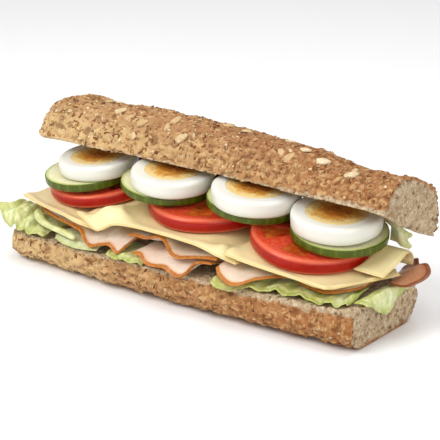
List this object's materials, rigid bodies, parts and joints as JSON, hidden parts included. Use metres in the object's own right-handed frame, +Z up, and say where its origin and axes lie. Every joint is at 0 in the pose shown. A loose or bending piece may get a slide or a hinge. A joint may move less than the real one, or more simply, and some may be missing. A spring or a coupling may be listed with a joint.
{
  "type": "submarine sandwich",
  "caption": "Long filled roll with a multigrain crust: lettuce, folded sliced poultry, cheese, tomato, cucumber and boiled egg slices between its two halves.",
  "frame": {"origin": "middle of the footprint of the whole sandwich, on the surface that it lies on", "axes": "+X runs along the roll from the baked end to the cut end, -Y is the open front, +Z is up"},
  "size_m": [0.244, 0.0872, 0.0844],
  "materials": {
    "crust": "rough baked crust",
    "egg_white": "smooth, moist",
    "egg_yolk": "crumbly",
    "tomato": "wet, glossy",
    "cucumber": "moist",
    "cheese": "waxy satin",
    "ham": "moist satin",
    "leaf": "satin leaf",
    "leaf_rib": "satin leaf rib"
  },
  "bodies": {
    "root": {"bread_bottom": "crust", "bread_top": "crust", "cheese_1": "cheese", "cheese_2": "cheese", "cheese_3": "cheese", "cheese_4": "cheese", "cucumber_1": "cucumber", "cucumber_2": "cucumber", "cucumber_3": "cucumber", "cucumber_4": "cucumber", "egg_white_1": "egg_white", "egg_white_2": "egg_white", "egg_white_3": "egg_white", "egg_white_4": "egg_white", "egg_yolk_1": "egg_yolk", "egg_yolk_2": "egg_yolk", "egg_yolk_3": "egg_yolk", "egg_yolk_4": "egg_yolk", "ham_1": "ham", "ham_2": "ham", "ham_3": "ham", "ham_4": "ham", "ham_5": "ham", "ham_6": "ham", "lettuce_1": "leaf", "lettuce_2": "leaf_rib", "lettuce_3": "leaf", "lettuce_4": "leaf", "lettuce_5": "leaf", "lettuce_6": "leaf", "lettuce_7": "leaf_rib", "tomato_1": "tomato", "tomato_2": "tomato", "tomato_3": "tomato"}
  },
  "joints": []
}
